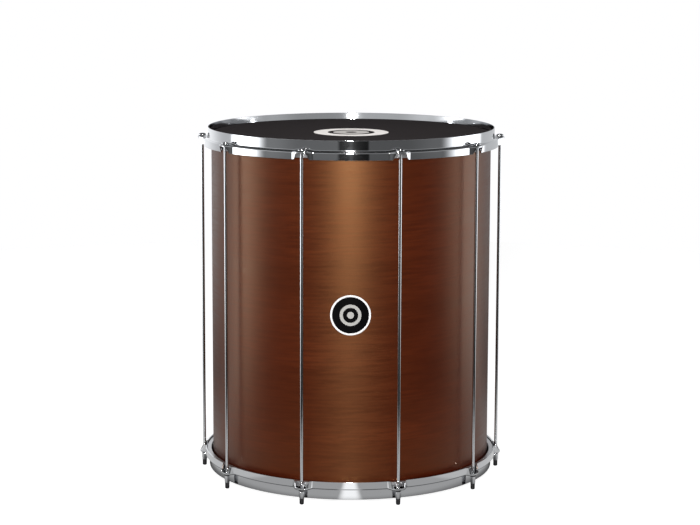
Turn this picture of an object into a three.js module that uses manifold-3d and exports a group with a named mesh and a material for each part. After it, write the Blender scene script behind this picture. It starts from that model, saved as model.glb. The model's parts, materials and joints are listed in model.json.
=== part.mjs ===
// Surdo: a tall samba bass drum. A hollow wooden shell carries a head at each end. Two stepped
// steel hoops, pressed from one pattern, pull the heads over the shell, and ten long tension
// rods through the hoops' ears draw the hoops together. The nuts are at the bottom, and the
// drum stands on the rubber feet that cap the rods.
// Millimetres, +Z up, the front faces -Y, and the feet stand on z = 0.
import * as THREE from 'three';
import { mergeVertices } from 'three/addons/utils/BufferGeometryUtils.js';
import Module from 'manifold-3d';

const wasm = await Module();
wasm.setup();

// Shell
const shellDiameter = 558.8;
const shellLength = 660.4;
const shellWall = 8;
const edgeRound = 1.6;
const edgeBevel = 5;

// Heads: a coated film over the shell's edge, held in a channelled flesh hoop
const filmThickness = 1;
const filmStandoff = 0.6;
const filmShoulder = 1.6;
const filmSlope = 1.8;
const filmTuck = 2.8;
const fleshHeight = 9.8;
const fleshWidth = 9.2;
const fleshWall = 1.4;
const channelDepth = 6.6;
const innerLegDrop = 4.2;

// Hoops: collar above the head, ledge over the flesh hoop, skirt around it
const sheetThickness = 2.3;
const rimRise = 12.7;
const collarHeight = 20.6;
const collarPlay = 5;
const ledgeWidth = 8.3;
const skirtHeight = 15.5;
const lipRound = 0.9;
const ledgeFillet = 2.4;
const shoulderRound = 3;
const fleshPlay = 0.9;

// Ears: scoops pressed out of the ledge and skirt, each with a mouth in the skirt's free edge
// that opens towards the middle of the drum
const earCount = 10;
const earReach = 13;
const earHalfWidth = 22;
const earLift = 1.8;
const earLip = 2.4;
const earFullnessShare = 1.7;
const earLeanShare = 0.35;
const mouthHalfWidth = 12.2;
const mouthBlend = 3.7;
const rodOffset = 3;

// Tension rods, washers, nuts and feet
const rodDiameter = 6;
const rodHeadDiameter = 15;
const rodHeadHeight = 4;
const rodPlay = 0.4;
const washerDiameter = 12.4;
const washerThickness = 2.2;
const nutAcrossFlats = 10;
const nutLength = 14.3;
const nutChamfer = 0.8;
const nutHexLength = 9;
const nutEndDiameter = 9;
const footDiameter = 9.2;
const footLength = 11.6;
const footRound = 2.4;
const footFloor = 3.4;

// Badge, a thin round plate bent to the shell
const badgeDiameter = 77;
const badgeThickness = 1.2;
const badgeRise = 13;

// Clearance between pieces that touch, and the overrun of a cut
const seatGap = 0.3;
const cutOverrun = 4;

// Facets round the drum, round the small pieces, across an ear, where earCrowdShare moves them
// towards the sides of the mouth, and between two ears
const drumSides = 48;
const smallSides = 10;
const nutSides = 12;
const badgeSides = 40;
const earSteps = 8;
const earCrowdShare = 0.05;
const plainSteps = 4;

// Heights, worked up from the floor through the stack on each rod
const shellRadius = shellDiameter / 2;
const footTop = footLength;
const nutBottom = footTop + seatGap;
const nutTop = nutBottom + nutLength;
const washerBottom = nutTop + seatGap;
const washerTop = washerBottom + washerThickness;
const earFloor = washerTop + seatGap;
const bottomRim = earFloor - (collarHeight - earLift);
const headStack = rimRise + filmThickness + seatGap;
const shellBottom = bottomRim + headStack;
const shellTop = shellBottom + shellLength;
const topRim = shellTop + headStack;
const shellMiddle = shellBottom + shellLength / 2;

// Radii shared by the hoops, the heads and the rods
const collarInner = shellRadius + collarPlay;
const collarOuter = collarInner + sheetThickness;
const skirtOuter = collarOuter + ledgeWidth;
const skirtInner = skirtOuter - sheetThickness;
const rodCircle = skirtOuter + rodOffset;
const fleshOuter = skirtInner - fleshPlay;
const fleshInner = fleshOuter - fleshWidth;
const stationAngle = (2 * Math.PI) / earCount;

// Depths below a hoop's rim
const filmDepth = rimRise;
const ledgeUnderside = collarHeight + sheetThickness;
const fleshDepth = ledgeUnderside + seatGap;

// Finishes
const finish = (color, roughness, metalness) =>
  new THREE.MeshStandardMaterial({ color, roughness, metalness });
const stainedWood = finish(0x7a4424, 0.45, 0);
const chrome = finish(0xc8cacd, 0.12, 1);
const aluminium = finish(0xb4b5b6, 0.4, 1);
const coatedFilm = finish(0x262427, 0.65, 0);
const blackNylon = finish(0x161616, 0.55, 0);
const blackRubber = finish(0x141414, 0.8, 0);
const badgeEnamel = finish(0x111111, 0.3, 0);

const surdo = new THREE.Group();

function addPiece(parent, name, geometry, material, height = 0) {
  const mesh = new THREE.Mesh(geometry, material);
  mesh.name = name;
  mesh.position.z = height;
  parent.add(mesh);
}

// A solid of revolution about Z from [radius, height] points. The points run up the outside.
function turned(points, sides) {
  const outline = points.map(([radius, height]) => new THREE.Vector2(radius, height));
  const geometry = new THREE.LatheGeometry(outline, sides);
  geometry.rotateX(Math.PI / 2);
  return geometry;
}

// A ring whose section repeats its first point at the end
function turnedRing(points, sides) {
  return turned([...points, points[0]], sides);
}

function toManifold(geometry) {
  const bare = geometry.clone();
  bare.deleteAttribute('normal');
  bare.deleteAttribute('uv');
  const merged = mergeVertices(bare);
  return new wasm.Manifold(new wasm.Mesh({
    numProp: 3,
    vertProperties: new Float32Array(merged.attributes.position.array),
    triVerts: new Uint32Array(merged.index.array),
  }));
}

function toGeometry(solid) {
  const mesh = solid.getMesh();
  const geometry = new THREE.BufferGeometry();
  geometry.setAttribute('position', new THREE.BufferAttribute(mesh.vertProperties, 3));
  geometry.setIndex(new THREE.BufferAttribute(mesh.triVerts, 1));
  geometry.computeVertexNormals();
  return geometry;
}

// Rings of points joined into one closed skin: ring after ring, and the last to the first
function joinedRings(rings) {
  const ringCount = rings.length;
  const pointCount = rings[0].length;
  const geometry = new THREE.BufferGeometry();
  geometry.setAttribute('position', new THREE.Float32BufferAttribute(rings.flat(2), 3));
  const triangles = [];
  for (let ring = 0; ring < ringCount; ring += 1) {
    const next = (ring + 1) % ringCount;
    for (let point = 0; point < pointCount; point += 1) {
      const beside = (point + 1) % pointCount;
      const a = ring * pointCount + point;
      const b = next * pointCount + point;
      const c = next * pointCount + beside;
      const d = ring * pointCount + beside;
      triangles.push(a, c, b, a, d, c);
    }
  }
  geometry.setIndex(triangles);
  geometry.computeVertexNormals();
  return geometry;
}

// Shell: an open tube with a round outer edge and a bevel that runs down inside
function shellGeometry() {
  const inner = shellRadius - shellWall;
  return turnedRing([
    [shellRadius - edgeRound, 0],
    [shellRadius, edgeRound],
    [shellRadius, shellLength - edgeRound],
    [shellRadius - edgeRound, shellLength],
    [inner, shellLength - edgeBevel],
    [inner, edgeBevel],
  ], drumSides);
}

// Head film, below its hoop's rim: flat over the shell, then down outside it and out under the
// ledge into the flesh hoop's channel
function filmGeometry() {
  const inner = shellRadius + filmStandoff;
  const slopeStart = ledgeUnderside - filmThickness;
  const neck = inner + filmSlope;
  const foot = neck + filmTuck;
  const footStart = fleshDepth + innerLegDrop - filmThickness;
  const tip = fleshDepth + channelDepth - seatGap - filmThickness;
  return turned([
    [0, -filmDepth - filmThickness],
    [shellRadius, -filmDepth - filmThickness],
    [inner, -filmDepth - filmThickness - filmShoulder],
    [neck, -slopeStart],
    [foot, -footStart],
    [foot, -tip],
    [foot + filmThickness, -tip],
    [foot + filmThickness, -footStart],
    [neck + filmThickness, -slopeStart],
    [inner + filmThickness, -filmDepth - filmShoulder],
    [shellRadius, -filmDepth],
    [0, -filmDepth],
  ], drumSides);
}

// Flesh hoop: a channel open towards the rim, with a short inner leg that the film passes over
function fleshHoopGeometry() {
  const bottom = -fleshDepth - fleshHeight;
  return turnedRing([
    [fleshInner, bottom],
    [fleshOuter, bottom],
    [fleshOuter, -fleshDepth],
    [fleshOuter - fleshWall, -fleshDepth],
    [fleshOuter - fleshWall, -fleshDepth - channelDepth],
    [fleshInner + fleshWall, -fleshDepth - channelDepth],
    [fleshInner + fleshWall, -fleshDepth - innerLegDrop],
    [fleshInner, -fleshDepth - innerLegDrop],
  ], drumSides);
}

// How far an ear stands out at a distance along the hoop from its rod, from 0 to 1
function earBulge(distance) {
  const along = Math.abs(distance) / earHalfWidth;
  if (along >= 1) return 0;
  return (1 + Math.cos(Math.PI * along ** earFullnessShare)) / 2;
}

// The hoop's section at a distance along the hoop from a rod, from the rim's inside over the
// collar, out along the ledge, down the skirt and back inside. In an ear the ledge rises, the
// skirt leans back as it goes down, and its free edge arches up over the mouth.
function hoopSection(distance) {
  const bulge = earBulge(distance);
  const reach = earReach * bulge;
  const outer = skirtOuter + reach;
  const floor = collarHeight - earLift * bulge;
  const mouthSide = THREE.MathUtils.smoothstep(
    Math.abs(distance), mouthHalfWidth - mouthBlend, mouthHalfWidth + mouthBlend);
  const free = collarHeight + earLip + (skirtHeight - earLip) * mouthSide;
  const lean = earLeanShare * reach * (free - floor) / skirtHeight;
  return [
    [collarInner, -lipRound],
    [(collarInner + collarOuter) / 2, 0],
    [collarOuter, -lipRound],
    [collarOuter, -floor + ledgeFillet],
    [collarOuter + ledgeFillet, -floor],
    [outer - shoulderRound, -floor],
    [outer, -floor - shoulderRound],
    [outer - lean, -free],
    [outer - lean - sheetThickness, -free],
    [outer - sheetThickness, -floor - sheetThickness],
    [collarInner, -floor - sheetThickness],
  ];
}

// Angles round the hoop and distances from the nearest rod: steps across each ear, crowded
// towards the sides of its mouth, then steps along the plain stretch
function hoopStations() {
  const earAngle = earHalfWidth / rodCircle;
  const plainAngle = stationAngle - 2 * earAngle;
  const stations = [];
  for (let ear = 0; ear < earCount; ear += 1) {
    const centre = (ear + 0.5) * stationAngle - Math.PI / 2;
    for (let step = 0; step <= earSteps; step += 1) {
      const share = 2 * step / earSteps - 1;
      const turn = (share + earCrowdShare * Math.sin(2 * Math.PI * share)) * earAngle;
      stations.push({ angle: centre + turn, distance: turn * rodCircle });
    }
    for (let step = 1; step < plainSteps; step += 1) {
      const turn = earAngle + plainAngle * step / plainSteps;
      stations.push({ angle: centre + turn, distance: earHalfWidth });
    }
  }
  return stations;
}

// Hoop, rim at z = 0 and skirt downwards, with a round hole for a rod in every ear's floor
function hoopGeometry() {
  const rings = hoopStations().map(({ angle, distance }) =>
    hoopSection(distance).map(([radius, height]) =>
      [radius * Math.cos(angle), radius * Math.sin(angle), height]));
  let hoop = toManifold(joinedRings(rings));
  const holeRadius = rodDiameter / 2 + rodPlay;
  const drillLength = sheetThickness + 2 * cutOverrun;
  for (let ear = 0; ear < earCount; ear += 1) {
    const angle = (ear + 0.5) * stationAngle - Math.PI / 2;
    const drill = new THREE.CylinderGeometry(holeRadius, holeRadius, drillLength, smallSides);
    drill.rotateX(Math.PI / 2);
    drill.translate(rodCircle, 0, earLift - collarHeight - sheetThickness / 2);
    drill.rotateZ(angle);
    hoop = hoop.subtract(toManifold(drill));
  }
  return toGeometry(hoop);
}

// Tension rod: a straight rod with a domed head, from its end inside the foot
function rodGeometry(length) {
  const radius = rodDiameter / 2;
  const head = rodHeadDiameter / 2;
  const domeRadiusShares = [1, 0.7];
  const domeHeightShares = [0.25, 0.8];
  const dome = domeRadiusShares.map((share, index) =>
    [head * share, length + rodHeadHeight * domeHeightShares[index]]);
  return turned([
    [0, 0],
    [radius, 0],
    [radius, length],
    [head, length],
    ...dome,
    [0, length + rodHeadHeight],
  ], smallSides);
}

function washerGeometry() {
  const hole = rodDiameter / 2 + rodPlay;
  const outer = washerDiameter / 2;
  return turnedRing([
    [hole, 0],
    [outer, 0],
    [outer, washerThickness],
    [hole, washerThickness],
  ], smallSides);
}

// Tension nut: a long hexagon with a chamfered top, turned down to a round lower end
function nutGeometry() {
  const flat = nutAcrossFlats / 2;
  const corner = flat / Math.cos(Math.PI / 6);
  const end = nutEndDiameter / 2;
  const bore = rodDiameter / 2 + rodPlay;
  const hexBottom = nutLength - nutHexLength;
  const rings = [];
  for (let side = 0; side < nutSides; side += 1) {
    const angle = side * 2 * Math.PI / nutSides;
    const hexagon = side % 2 === 0 ? corner : flat;
    const section = [
      [bore, nutLength],
      [flat, nutLength],
      [hexagon, nutLength - nutChamfer],
      [hexagon, hexBottom],
      [end, 0],
      [bore, 0],
    ];
    rings.push(section.map(([radius, height]) =>
      [radius * Math.cos(angle), radius * Math.sin(angle), height]));
  }
  return joinedRings(rings);
}

// Rubber foot: a cap pushed over the rod's end, round at the floor
function footGeometry() {
  const outer = footDiameter / 2;
  const bore = rodDiameter / 2 + rodPlay;
  return turned([
    [0, 0],
    [outer - footRound, 0],
    [outer, footRound],
    [outer, footLength],
    [bore, footLength],
    [bore, footFloor],
    [0, footFloor],
  ], smallSides);
}

// Badge: the part of a thin tube round the shell that a round cutter leaves
function badgeGeometry() {
  const inner = shellRadius + seatGap;
  const outer = inner + badgeThickness;
  const depth = outer - inner + badgeDiameter;
  const half = badgeDiameter / 2;
  const band = turnedRing([
    [inner, -half - cutOverrun],
    [outer, -half - cutOverrun],
    [outer, half + cutOverrun],
    [inner, half + cutOverrun],
  ], badgeSides * 4);
  const cutter = new THREE.CylinderGeometry(half, half, depth, badgeSides);
  cutter.translate(0, -shellRadius, 0);
  return toGeometry(toManifold(band).intersect(toManifold(cutter)));
}

addPiece(surdo, 'shell', shellGeometry(), stainedWood, shellBottom);
addPiece(surdo, 'badge', badgeGeometry(), badgeEnamel, shellMiddle + badgeRise);

// The upper and the lower end hold the same three pieces. The lower end is turned over.
const hoop = hoopGeometry();
const film = filmGeometry();
const fleshHoop = fleshHoopGeometry();

function addEnd(prefix, headName) {
  const end = new THREE.Group();
  addPiece(end, `${prefix}_hoop`, hoop, chrome);
  addPiece(end, `${headName}_head_film`, film, coatedFilm);
  addPiece(end, `${headName}_flesh_hoop`, fleshHoop, aluminium);
  surdo.add(end);
  return end;
}

addEnd('top', 'batter').position.z = topRim;
const lowerEnd = addEnd('bottom', 'resonant');
lowerEnd.position.z = bottomRim;
lowerEnd.rotation.x = Math.PI;

// Ten stations, counted from the front towards +X
const rodBottom = footFloor + seatGap;
const rodSeat = topRim - (collarHeight - earLift) + seatGap;
const rod = rodGeometry(rodSeat - rodBottom);
const washer = washerGeometry();
const nut = nutGeometry();
const foot = footGeometry();

for (let index = 0; index < earCount; index += 1) {
  const station = new THREE.Group();
  const number = String(index + 1).padStart(2, '0');
  const angle = (index + 0.5) * stationAngle - Math.PI / 2;
  station.position.set(rodCircle * Math.cos(angle), rodCircle * Math.sin(angle), 0);
  station.rotation.z = angle;
  addPiece(station, `tension_rod_${number}`, rod, chrome, rodBottom);
  addPiece(station, `ear_washer_${number}`, washer, blackNylon, washerBottom);
  addPiece(station, `tension_nut_${number}`, nut, chrome, nutBottom);
  addPiece(station, `rubber_foot_${number}`, foot, blackRubber);
  surdo.add(station);
}

export default surdo;
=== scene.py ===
import json
import math

import bmesh
import bpy
from bpy.props import FloatProperty, FloatVectorProperty, PointerProperty
from mathutils import Matrix, Vector

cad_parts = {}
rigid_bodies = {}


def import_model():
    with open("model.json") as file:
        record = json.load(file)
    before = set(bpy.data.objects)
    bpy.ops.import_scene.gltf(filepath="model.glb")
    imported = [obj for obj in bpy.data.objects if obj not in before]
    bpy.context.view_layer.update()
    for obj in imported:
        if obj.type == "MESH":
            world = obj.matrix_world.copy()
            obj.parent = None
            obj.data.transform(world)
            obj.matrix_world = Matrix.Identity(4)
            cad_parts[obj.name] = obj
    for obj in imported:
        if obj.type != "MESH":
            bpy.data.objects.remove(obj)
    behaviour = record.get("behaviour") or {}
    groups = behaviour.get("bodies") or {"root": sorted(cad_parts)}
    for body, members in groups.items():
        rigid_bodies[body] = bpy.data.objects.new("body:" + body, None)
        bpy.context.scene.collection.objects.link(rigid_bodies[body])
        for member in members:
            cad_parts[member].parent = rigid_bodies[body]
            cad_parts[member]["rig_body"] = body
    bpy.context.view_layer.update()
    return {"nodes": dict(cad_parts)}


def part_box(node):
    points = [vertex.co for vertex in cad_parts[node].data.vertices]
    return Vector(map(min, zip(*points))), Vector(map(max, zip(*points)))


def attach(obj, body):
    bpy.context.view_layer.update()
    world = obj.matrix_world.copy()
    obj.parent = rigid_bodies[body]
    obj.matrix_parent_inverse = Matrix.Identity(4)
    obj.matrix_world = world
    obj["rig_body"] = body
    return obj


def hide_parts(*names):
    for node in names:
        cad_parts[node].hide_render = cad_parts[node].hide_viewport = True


bl_info = {
    "name": "Surdo Drum",
    "version": (1, 0, 0),
    "blender": (4, 5, 0),
    "location": "3D View > Sidebar > Surdo",
    "description": "Builds the finished pieces of a samba bass drum round its packed frame",
    "category": "Add Mesh",
}

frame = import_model()

# The drum's fixed places, read from the frame
ROD_NODES = sorted(name for name in frame["nodes"] if name.startswith("tension_rod_"))
TOP_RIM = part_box("top_hoop")[1].z
BOTTOM_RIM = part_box("bottom_hoop")[0].z
HOOP_DEPTH = TOP_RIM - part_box("top_hoop")[0].z
SHELL_LOW, SHELL_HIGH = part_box("shell")
FILM_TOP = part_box("batter_head_film")[1].z
FLESH_LOW, FLESH_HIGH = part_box("batter_flesh_hoop")
BADGE_LOW, BADGE_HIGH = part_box("badge")
SIDE_STATION = "03"

# Smoothness of the meshes
ARC_STEP = math.radians(15)
HOOP_ARC_STEPS = 6
ROUND_STEPS = 288
EAR_STEPS = 56
PLAIN_STEPS = 24
SMALL_STEPS = 48
THREAD_STEPS = 6
DOME_STEPS = 12
BADGE_ROWS = 24
FILM_ROWS = 40
SHARP_ANGLE = math.radians(50)
TINY = 1e-7

# The middle value of a noise, from which it swings up and down
NOISE_MIDDLE = 0.5

# Veneer: cells a metre along the grain, through the wall and across the grain
TONE_CELLS = (2.2, 20, 16)
FIGURE_CELLS = (15, 60, 240)
FIBRE_CELLS = (40, 300, 1500)
PORE_CELLS = (110, 900, 3800)
GRAIN_SLANT = 0.035
GRAIN_HEIGHT = 0.0001

# Veneer: how much each pattern darkens, dulls and raises the surface
TONE_DARKENS = 0.45
TONE_DULLS = 0.08
FIGURE_DULLS = 0.16
FIGURE_RAISES = 0.6
FIBRE_DARKENS = 0.22
FIBRE_RAISES = 0.2
PORES_DARKEN = 0.5
PORES_DULL = 0.05
PORES_SINK = 0.15
BARE_GRAIN_TONE = 0.72

# Chrome plate: the haze, the wipe marks and the waves, beside the plate's own cells
HAZE_SHARE = 0.35
HAZE_TONE = 0.9
HAZE_DULLS = 0.035
WIPE_STRETCH = 6
WIPE_CELLS = 5
WIPE_DULLS = 0.03
WAVE_CELLS = 0.8
WAVE_HEIGHT = 0.00012

# Coated film: cells a metre, and what the leather grain, clouds, rubbed spots and ink do
LEATHER_CELLS = 620.0
LEATHER_CREASE = 0.22
LEATHER_RAISES = 0.6
LEATHER_HEIGHT = 0.00012
CLOUD_CELLS = 9.0
CLOUD_SHARE = 0.5
CLOUD_TONE = 0.72
CLOUD_DULLS = 0.1
RUB_CELLS = 260.0
RUB_RAISES = 0.5
INK_COVER = 0.94
INK_WEAR = 0.06
INK_FILLS = 0.6
INK_GLOSS = 0.12

# Rolled aluminium: cells a metre, and what the rolling lines and blotches do
LINE_CELLS = 4000
LINE_DULLS = 0.12
LINE_HEIGHT = 0.00003
BLOTCH_CELLS = 60.0
BLOTCH_SHARE = 0.4
BLOTCH_TONE = 0.8

# Moulded pieces: their dust, beside the grain's own cells
DUST_CELLS = 0.12
DUST_SHARE = 0.35
DUST_TONE = 2.2
MOULD_DULLS = 0.14
MOULD_HEIGHT = 0.00008

# Badge enamel
WEAR_CELLS = 900.0
WEAR_DULLS = 0.05
WEAR_HEIGHT = 0.00001
MARKS_DULL = 0.2

# Studio: where its light changes round the drum, in half turns from straight in front
PANEL_LEFT = (-0.062, -0.045)
PANEL_RIGHT = (0.080, 0.073)
BACK_LEFT = (-0.66, -0.84)

# Studio: where its light changes away from the front, in half turns times a side's reach
GAP_EDGE = (0.009, 0.003)
SIDE_EDGE = (0.2, 0.34)
BOX_EDGE = (0.355, 0.495)
BACK_EDGE = (0.527, 0.578)
BACK_SHIFT = 0.035

# Studio: where its light changes upwards, as the rise of a direction of length 1
FLOOR_EDGE = (-0.105, -0.14)
PANEL_TOP = (0.02, -0.02)
HORIZON = (-0.02, 0.05)
CEILING_EDGE = (0.3, 0.6)

# Studio: how much its light changes there, and its tint
SIDE_GAIN = 0.5
BACK_GAIN = 0.7
BOX_FALL = 0.85
FLOOR_FALL = 0.25
ROOM_TINT = (0.985, 1.0, 1.02)

# Floor: where the painted light that metal mirrors in it changes, in metres from the drum's axis: the
# painted shadow under the drum, the far floor and the start of the painted falloff
PAINTED_SHADOW_EDGE = (0.35, 0.29)
FAR_EDGE = (0.45, 1.05)
PAINTED_FALLOFF_START = 0.6

# Floor: where its painted mirrored light changes sideways, in square metres: the painted pool of
# light in front and the brighter painted band beside the drum
PAINTED_POOL_EDGE = (0.0012, 0.0001)
PAINTED_SIDE_EDGE = (0.087, 0.109)

# Floor: how much its painted light changes there, its own even level and its colour
PAINTED_POOL_GAIN = 0.9
PAINTED_SIDE_GAIN = 0.2
PAINTED_SHADOW_FALL = 0.8
PAINTED_FALLOFF_LEVEL = 0.18
PAINTED_FALLOFF_GAIN = 0.5
PALE_LEVEL = 0.83
PALE_SHADE = (0.62, 0.62, 0.62)
BLACK = (0.0, 0.0, 0.0)

# Lamps: width and length, place and tilt
STRIP_SIZE = (0.36, 1.4)
STRIP_PLACE = (-0.07, -4.6, 1.35)
STRIP_TILT = math.radians(85)
OVERHEAD_SIZE = (0.045, 0.8)
OVERHEAD_PLACE = (0, -0.55, 2.0)
OVERHEAD_TINT = (1.0, 0.93, 0.90)


def middle(node):
    """The centre of a CAD node's box."""
    low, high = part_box(node)
    return (low + high) / 2


def stations():
    """Each rod's number, its place on the floor plan and the direction that it faces."""
    for name in ROD_NODES:
        place = middle(name)
        yield name[-2:], place, math.atan2(place.y, place.x)


ROD_CIRCLE = middle(f"tension_rod_{SIDE_STATION}").x


def length(name, description, default):
    """A size that a user may change, in metres."""
    return FloatProperty(name=name, description=description, default=default, min=0,
                         unit="LENGTH", precision=5)


def colour(name, description, default):
    """A colour that a user may change."""
    return FloatVectorProperty(name=name, description=description, default=default,
                               size=3, min=0, max=1, subtype="COLOR")


def share(name, description, default, most=1.0):
    """A plain number that a user may change, such as a roughness."""
    return FloatProperty(name=name, description=description, default=default, min=0, max=most)


class SurdoShell(bpy.types.PropertyGroup):
    """Sizes and stain of the wood shell."""

    radius: length("Radius", "Outer radius of the shell", SHELL_HIGH.x)
    wall: length("Wall", "Thickness of the plies", 0.008)
    edge_round: length("Edge round", "Radius of the outer bearing edge", 0.0016)
    bevel: length("Bevel", "Height of the slope inside the bearing edge", 0.005)
    stain: colour("Stain", "Colour of the stained wood", (0.031, 0.0018, 0.0002))
    stain_light: colour("Light grain", "Colour of the lighter grain", (0.049, 0.0042, 0.0004))
    stain_dark: colour("Dark grain", "Colour of the pores and dark grain", (0.023, 0.0012, 0.0001))
    bare_wood: colour("Bare wood", "Colour of the unstained inside", (0.52, 0.36, 0.21))
    sheen_tint: colour("Sheen tint", "Tint of the light that the fibres reflect",
                       (1.0, 0.50, 0.21))
    roughness: share("Roughness", "Roughness of the satin lacquer", 0.385)


class SurdoBadge(bpy.types.PropertyGroup):
    """Sizes and colours of the badge."""

    radius: length("Radius", "Radius of the badge", BADGE_HIGH.x)
    border: length("Border", "Width of the white border", 0.0035)
    rim_rise: length("Rim rise", "Height of the border above the field", 0.0003)
    ring_outer: length("Ring outside", "Outer radius of the grey ring", 0.0205)
    ring_inner: length("Ring inside", "Inner radius of the grey ring", 0.0145)
    dot: length("Dot", "Radius of the grey dot", 0.0065)
    field: colour("Field", "Colour of the field", (0.0012, 0.0012, 0.0014))
    border_white: colour("Border white", "Colour of the border", (0.66, 0.66, 0.665))
    ring_grey: colour("Ring grey", "Colour of the ring and dot", (0.30, 0.295, 0.28))
    roughness: share("Roughness", "Roughness of the enamel", 0.13)


class SurdoHoop(bpy.types.PropertyGroup):
    """Sizes of the pressed hoops."""

    sheet: length("Sheet", "Thickness of the steel", 0.0023)
    collar_play: length("Collar play", "Gap between shell and collar", 0.005)
    ledge_width: length("Ledge", "Width of the ledge over the flesh hoop", 0.0083)
    skirt_height: length("Skirt", "Height of the skirt below the ledge", 0.0155)
    lip_round: length("Lip round", "Radius of the sheet's edges", 0.0004)
    rim_opening: length("Rim opening", "How far the collar's inside opens towards the rim", 0.0010)
    opening_round: length("Opening round", "Radius where the collar's inside starts to open", 0.0083)
    ledge_fillet: length("Ledge fillet", "Radius between collar and ledge", 0.0024)
    shoulder_round: length("Shoulder", "Radius between ledge and skirt", 0.003)
    ear_reach: length("Ear reach", "How far an ear stands out of the skirt", 0.013)
    ear_half_width: length("Ear half width", "Half the width of an ear along the hoop", 0.022)
    ear_lift: length("Ear lift", "How far an ear's floor lies towards the rim", 0.0018)
    ear_lip: length("Ear lip", "Depth of the skirt at the middle of an ear", 0.0024)
    ear_fullness: share("Ear fullness", "How full the ear's plan is", 1.7, most=3.0)
    ear_lean: share("Ear lean", "How far the ear's wall leans back at its free edge", 0.35)
    mouth_half_width: length("Mouth half width", "Half the width of an ear's mouth", 0.0122)
    mouth_blend: length("Mouth blend", "Half the length of the slope beside a mouth", 0.0037)
    hole_play: length("Hole play", "Gap round a rod in its hole", 0.0004)
    plate: colour("Plating", "Colour of the chrome plate", (0.66, 0.67, 0.685))
    roughness: share("Roughness", "Roughness of the chrome plate", 0.045)


class SurdoHead(bpy.types.PropertyGroup):
    """Sizes and colours of the heads and their flesh hoops."""

    film: length("Film", "Thickness of the coated film", 0.001)
    standoff: length("Stand-off", "Gap between film and shell", 0.0006)
    shoulder: length("Shoulder", "Height of the turn over the shell's edge", 0.0016)
    slope: length("Slope", "How far the film leans out above the ledge", 0.0018)
    tuck: length("Tuck", "How far the film steps out into the channel", 0.0028)
    wall: length("Channel wall", "Wall of the aluminium channel", 0.0014)
    channel_depth: length("Channel depth", "Depth of the channel's groove", 0.0066)
    channel_width: length("Channel width", "Width of the aluminium channel", 0.0092)
    inner_drop: length("Inner leg drop", "How much lower the inner leg is", 0.0042)
    seat_gap: length("Seat gap", "Gap between clamped pieces", 0.0003)
    print_radius: length("Print", "Radius of the printed disc", 0.075)
    print_band: length("Print band", "Width of the dark band in the print", 0.011)
    print_middle: length("Print middle", "Outer radius of the dark band", 0.047)
    print_dot: length("Print dot", "Radius of the dark dot", 0.011)
    coat: colour("Coat", "Colour of the black coat", (0.032, 0.0296, 0.031))
    ink: colour("Ink", "Colour of the printed disc", (0.82, 0.82, 0.81))
    ink_grey: colour("Grey ink", "Colour of the print inside the band", (0.50, 0.50, 0.49))
    metal: colour("Metal", "Colour of the flesh hoops", (0.62, 0.62, 0.63))
    coat_roughness: share("Coat roughness", "Roughness of the black coat", 0.66)
    metal_roughness: share("Metal roughness", "Roughness of the flesh hoops", 0.27)


class SurdoRod(bpy.types.PropertyGroup):
    """Sizes of the tension rods and their washers."""

    radius: length("Radius", "Radius of a tension rod", 0.003)
    head_radius: length("Head radius", "Radius of the domed head", 0.0075)
    head_height: length("Head height", "Height of the domed head", 0.004)
    head_rim: length("Head rim", "Height of the straight rim under the dome", 0.0009)
    pitch: length("Thread pitch", "Rise of the thread in one turn", 0.001)
    thread_depth: length("Thread depth", "Depth of the thread", 0.00052)
    thread_length: length("Thread length", "Length of the threaded end", 0.042)
    end_chamfer: length("End chamfer", "Chamfer at the rod's lower end", 0.0008)
    washer_play: length("Washer play", "Gap between rod and washer", 0.0004)
    washer_round: length("Washer round", "Radius of the washer's edges", 0.0005)
    nylon: colour("Nylon", "Colour of the washers", (0.011, 0.011, 0.012))
    nylon_roughness: share("Nylon roughness", "Roughness of the washers", 0.5)


class SurdoNut(bpy.types.PropertyGroup):
    """Sizes of the tension nuts and the rubber feet."""

    flat: length("Half across flats", "Half the width across the flats", 0.005)
    corner_round: length("Corner round", "Radius of the hexagon's corners", 0.0004)
    hexagon: length("Hexagon", "Height of the hexagon", 0.009)
    end_radius: length("End radius", "Radius of the turned lower end", 0.0045)
    chamfer: length("Chamfer", "Height of the chamfer on the upper end", 0.0008)
    play: length("Play", "Gap between nut and rod", 0.0004)
    foot_round: length("Foot round", "Radius of the foot's lower edge", 0.0024)
    foot_floor: length("Foot floor", "Thickness of the rubber under the rod", 0.0034)
    foot_lip: length("Foot lip", "Height of the band at the foot's mouth", 0.0016)
    foot_rib: length("Foot rib", "How far the band at the foot's mouth stands out", 0.00012)
    rubber: colour("Rubber", "Colour of the feet", (0.0065, 0.0065, 0.007))
    rubber_roughness: share("Rubber roughness", "Roughness of the feet", 0.55)


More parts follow.
